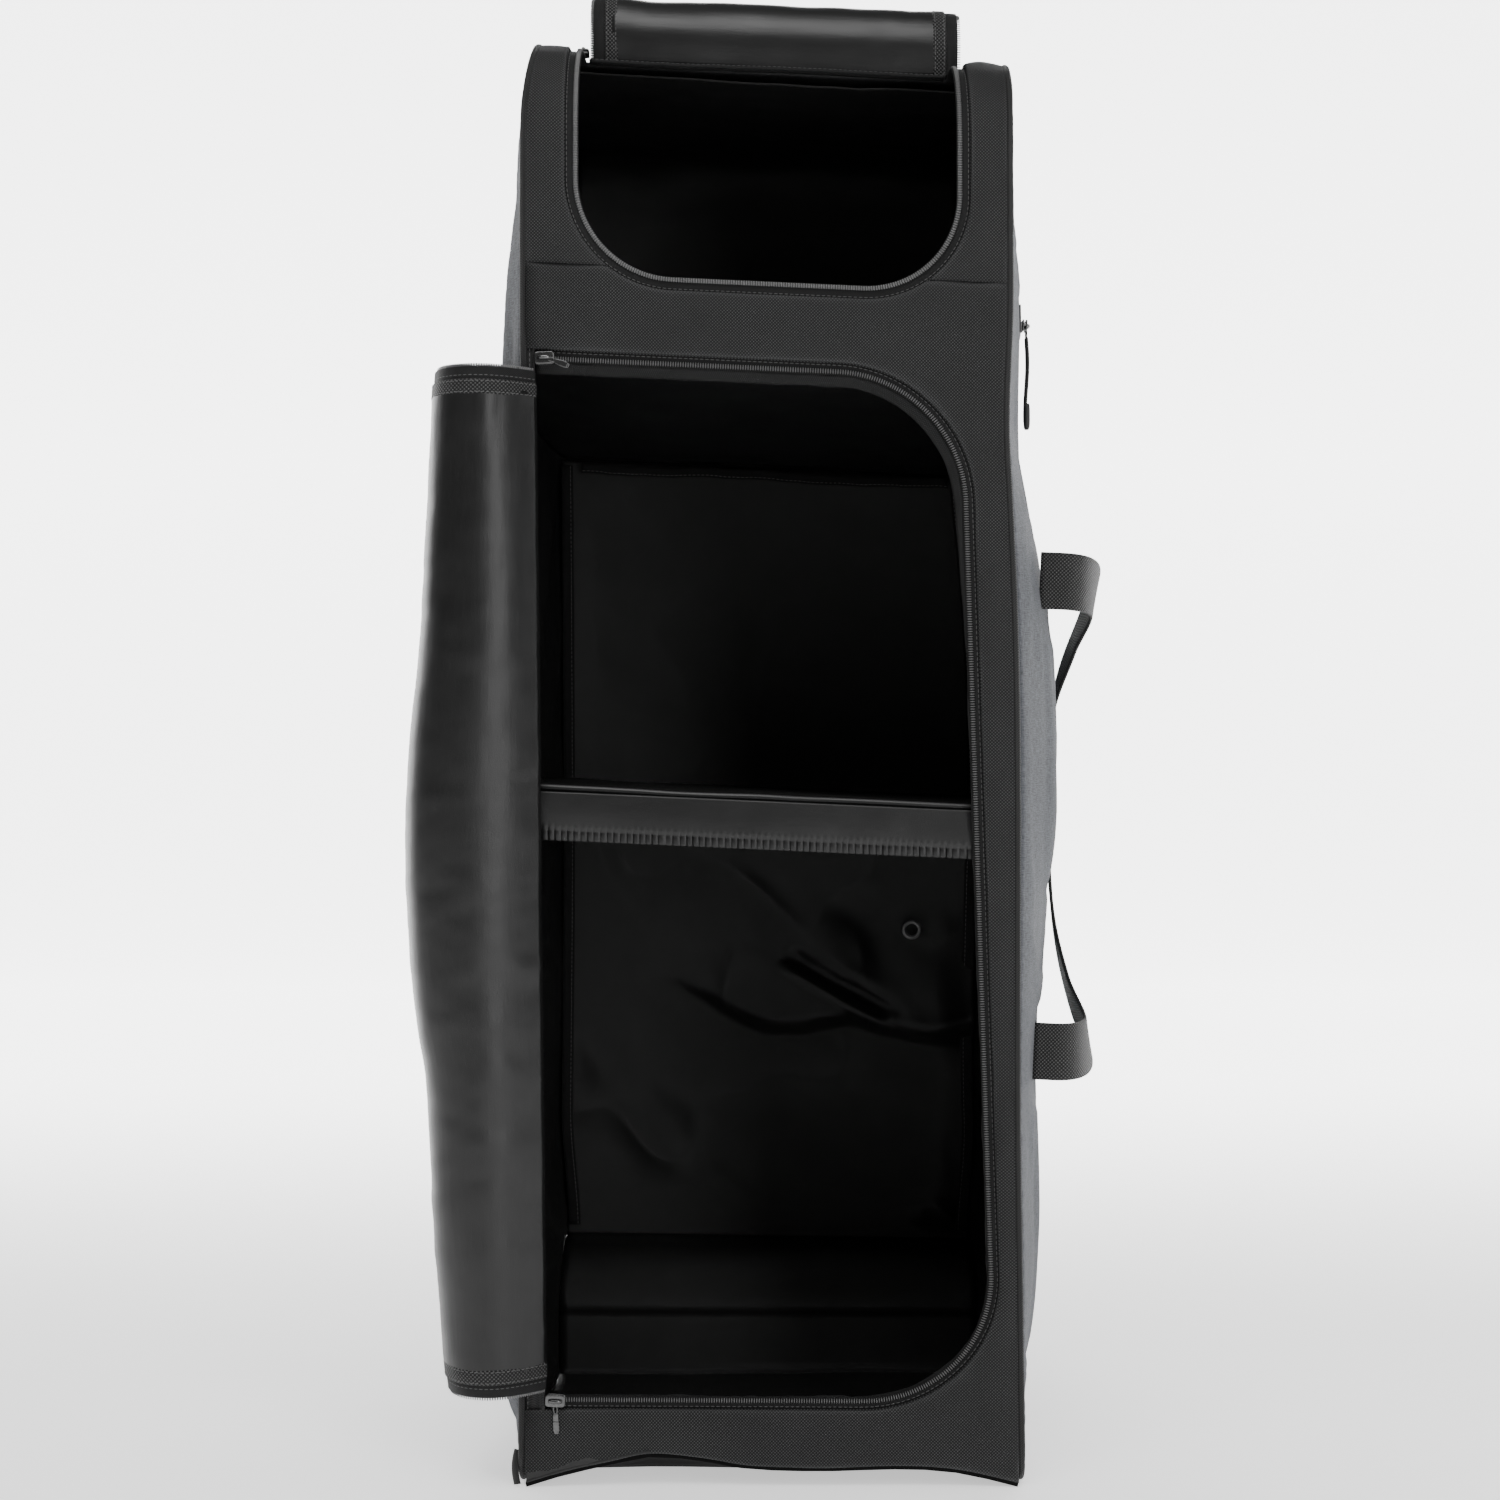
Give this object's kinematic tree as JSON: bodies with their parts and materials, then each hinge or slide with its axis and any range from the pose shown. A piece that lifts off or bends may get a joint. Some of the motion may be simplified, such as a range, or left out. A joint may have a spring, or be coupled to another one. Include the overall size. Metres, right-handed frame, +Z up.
{
  "type": "wheeled kit bag",
  "caption": "Tall upright soft box bag on two rear wheels, open in front and over the top with both zipped flaps thrown back, with an inner shelf and side carry handle.",
  "frame": {"origin": "on the floor, midway between the front and back panels and the nominal side seams, on the underside of the stiff bottom", "axes": "+Z up, front faces -Y, +X towards the bag's side with the carry handle"},
  "size_m": [0.4587, 0.3946, 0.9845],
  "materials": {
    "front_weave": "black ballistic weave, coated inside",
    "side_heather": "blue-grey heather polyester",
    "satin": "smooth black coated satin",
    "lining": "thin black nylon lining, slightly shiny",
    "webbing": "black woven webbing and binding",
    "zip": "black zip tape with nylon coil",
    "slider_metal": "dark plated zip slider",
    "moulded": "black grained moulding",
    "tyre": "black soft rolling tread",
    "steel": "plain steel axle pin"
  },
  "bodies": {
    "bag": {"front_panel": "front_weave", "top_surround": "front_weave", "back_panel": "side_heather", "bottom_panel": "moulded", "side_panel_left": "side_heather", "side_panel_right": "side_heather", "piping_left": "webbing", "piping_right": "webbing", "hinge_strip": "webbing", "hinge_binding": "webbing", "compartment_floor": "lining", "shelf": "lining", "shelf_lip": "satin", "rear_lining": "lining", "main_flap": "satin", "main_flap_border": "webbing", "top_flap": "satin", "top_flap_border": "webbing", "main_zip": "zip", "top_zip": "zip", "side_pocket_zip": "zip", "main_slider_upper": "slider_metal", "main_slider_lower": "slider_metal", "main_slider_pull": "slider_metal", "top_slider": "slider_metal", "side_slider": "slider_metal", "side_zip_pull": "webbing", "carry_handle": "webbing", "side_sleeve": "side_heather", "pull_handle": "webbing", "wheel_housing": "moulded", "axle_left": "steel", "axle_right": "steel"},
    "wheel_left": {"hub_left": "moulded", "tyre_left": "tyre"},
    "wheel_right": {"hub_right": "moulded", "tyre_right": "tyre"}
  },
  "joints": [
    {"name": "wheel_left_spin", "type": "hinge", "parent": "bag", "child": "wheel_left", "pos_m": [-0.124, 0.143, 0.04], "axis": [1, 0, 0], "continuous": true},
    {"name": "wheel_right_spin", "type": "hinge", "parent": "bag", "child": "wheel_right", "pos_m": [0.124, 0.143, 0.04], "axis": [1, 0, 0], "continuous": true}
  ]
}
